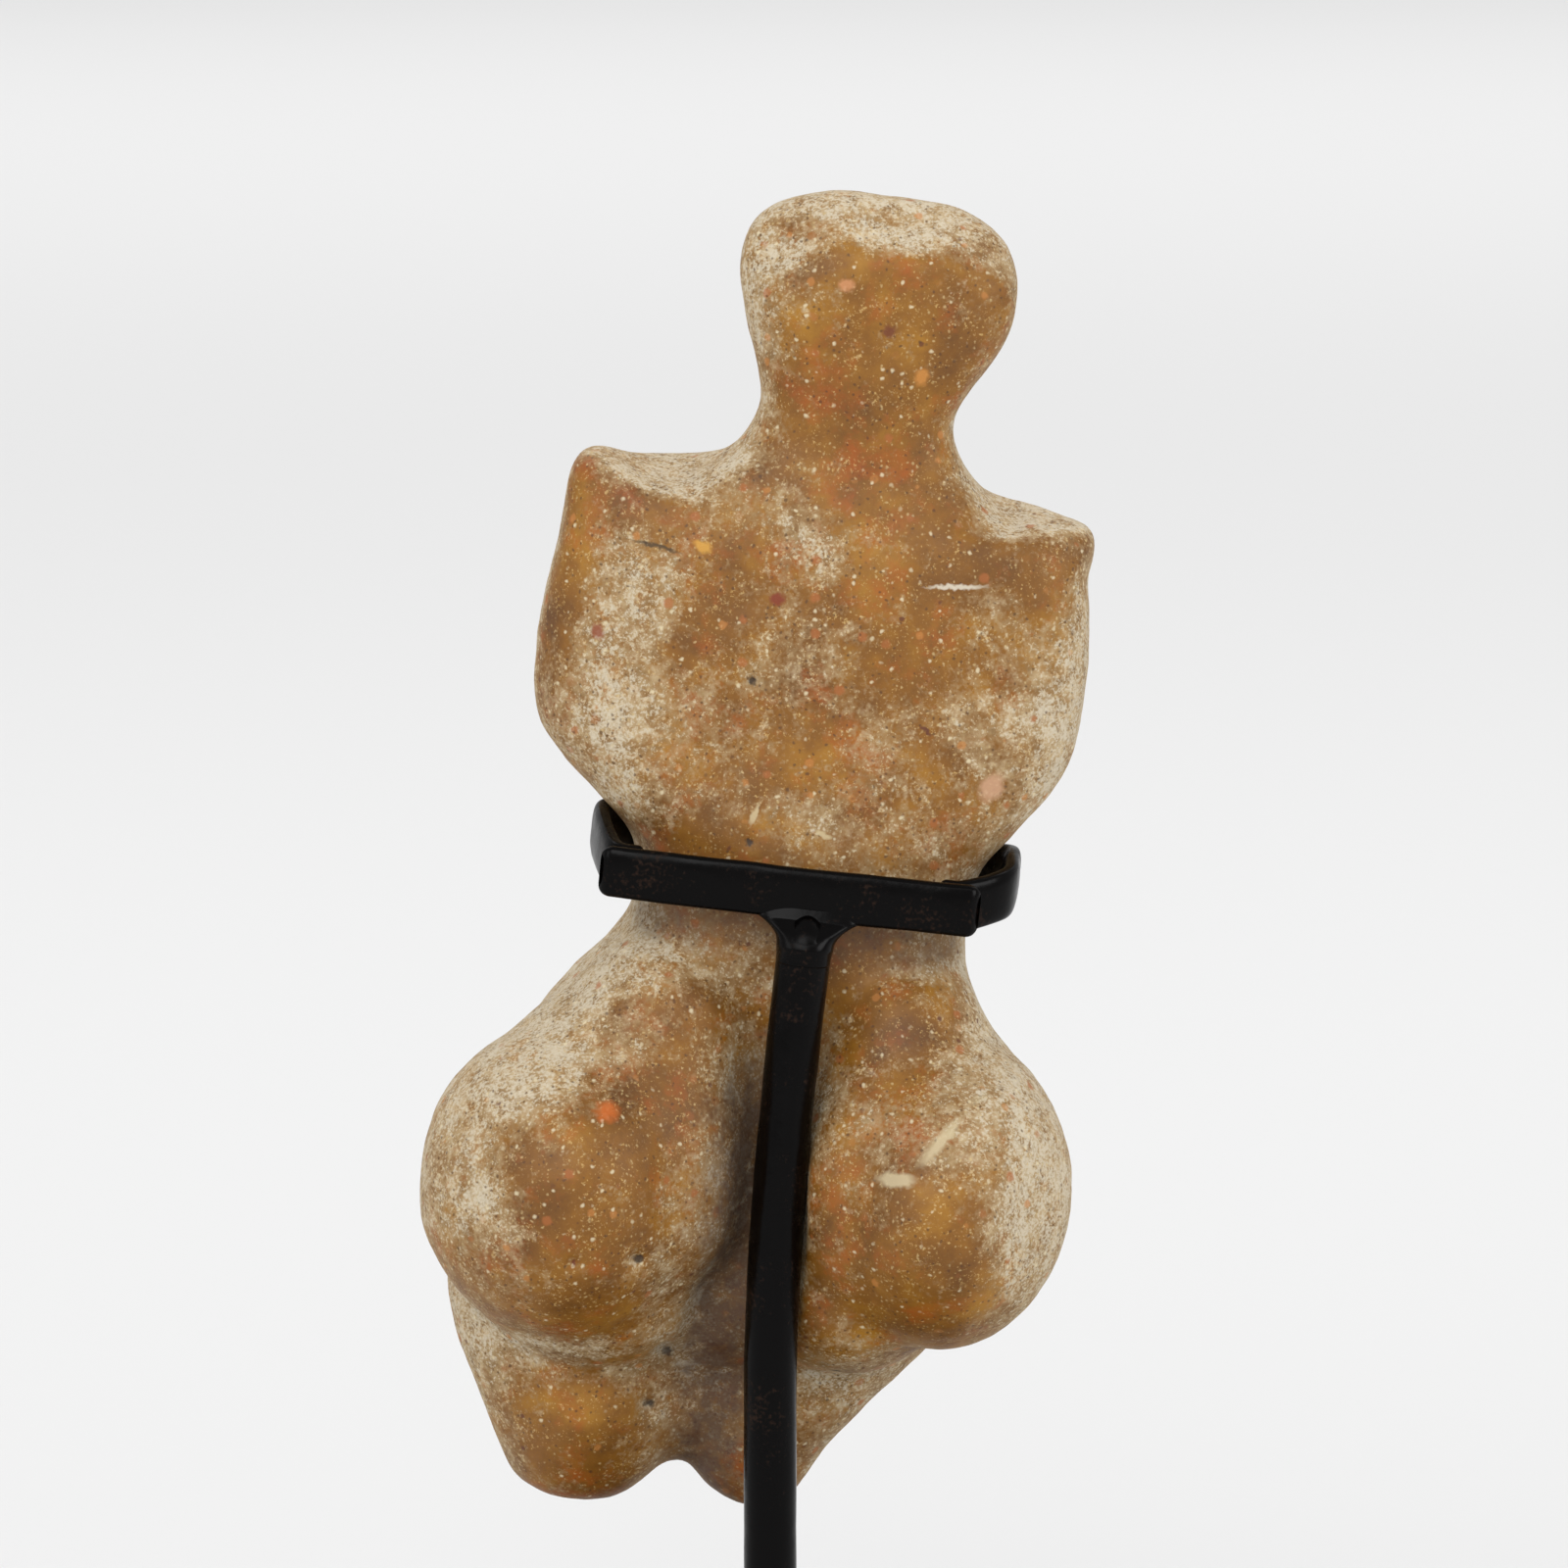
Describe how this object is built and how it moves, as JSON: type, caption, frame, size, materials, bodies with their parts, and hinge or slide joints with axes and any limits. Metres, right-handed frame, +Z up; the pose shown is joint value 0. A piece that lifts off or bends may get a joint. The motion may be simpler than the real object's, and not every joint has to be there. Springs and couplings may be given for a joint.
{
  "type": "stone fertility figure on a display mount",
  "caption": "Carved stone steatopygous figure held at the waist by a black metal strip collar on a bent rod and square base.",
  "frame": {"origin": "centre of the base's footprint on the plane the felt feet rest on, on the stem's axis", "axes": "+Z up, along the stem; the figure's back faces -Y; +X is to the right for someone looking at the figure's back"},
  "size_m": [0.1, 0.1, 0.2393],
  "materials": {
    "ochre_limestone": "rubbed, speckled",
    "black_paint": "gloss brushed enamel",
    "dark_suede": "matt nap",
    "blackened_steel": "blackened, satin",
    "screw_brass": "satin",
    "lacquered_wood": "black satin lacquer",
    "black_felt": "matt felt"
  },
  "bodies": {
    "base": {"base_block": "lacquered_wood", "foot_1": "black_felt", "foot_2": "black_felt", "foot_3": "black_felt", "foot_4": "black_felt", "stem_socket": "blackened_steel", "flange_screw_1": "screw_brass", "flange_screw_2": "screw_brass", "flange_screw_3": "screw_brass"},
    "collar": {"stop_collar": "blackened_steel"},
    "screw": {"collar_screw": "blackened_steel"},
    "carrier": {"stem": "black_paint", "back_bar": "black_paint", "left_arm": "black_paint", "right_arm": "black_paint", "braze_fillet_left": "black_paint", "braze_fillet_right": "black_paint", "pad_back": "dark_suede", "pad_left": "dark_suede", "pad_right": "dark_suede", "figure": "ochre_limestone"}
  },
  "joints": [
    {"name": "stem_swivel", "type": "hinge", "parent": "base", "child": "collar", "pos_m": [0, 0, 0.0446], "axis": [0, 0, 1], "continuous": true},
    {"name": "stem_lift", "type": "slide", "parent": "collar", "child": "carrier", "axis": [0, 0, 1], "range_m": [0, 0.02]},
    {"name": "collar_screw_turn", "type": "hinge", "parent": "collar", "child": "screw", "pos_m": [0, -0.0055, 0.0481], "axis": [0, -1, 0], "range_deg": [0, 360]}
  ]
}
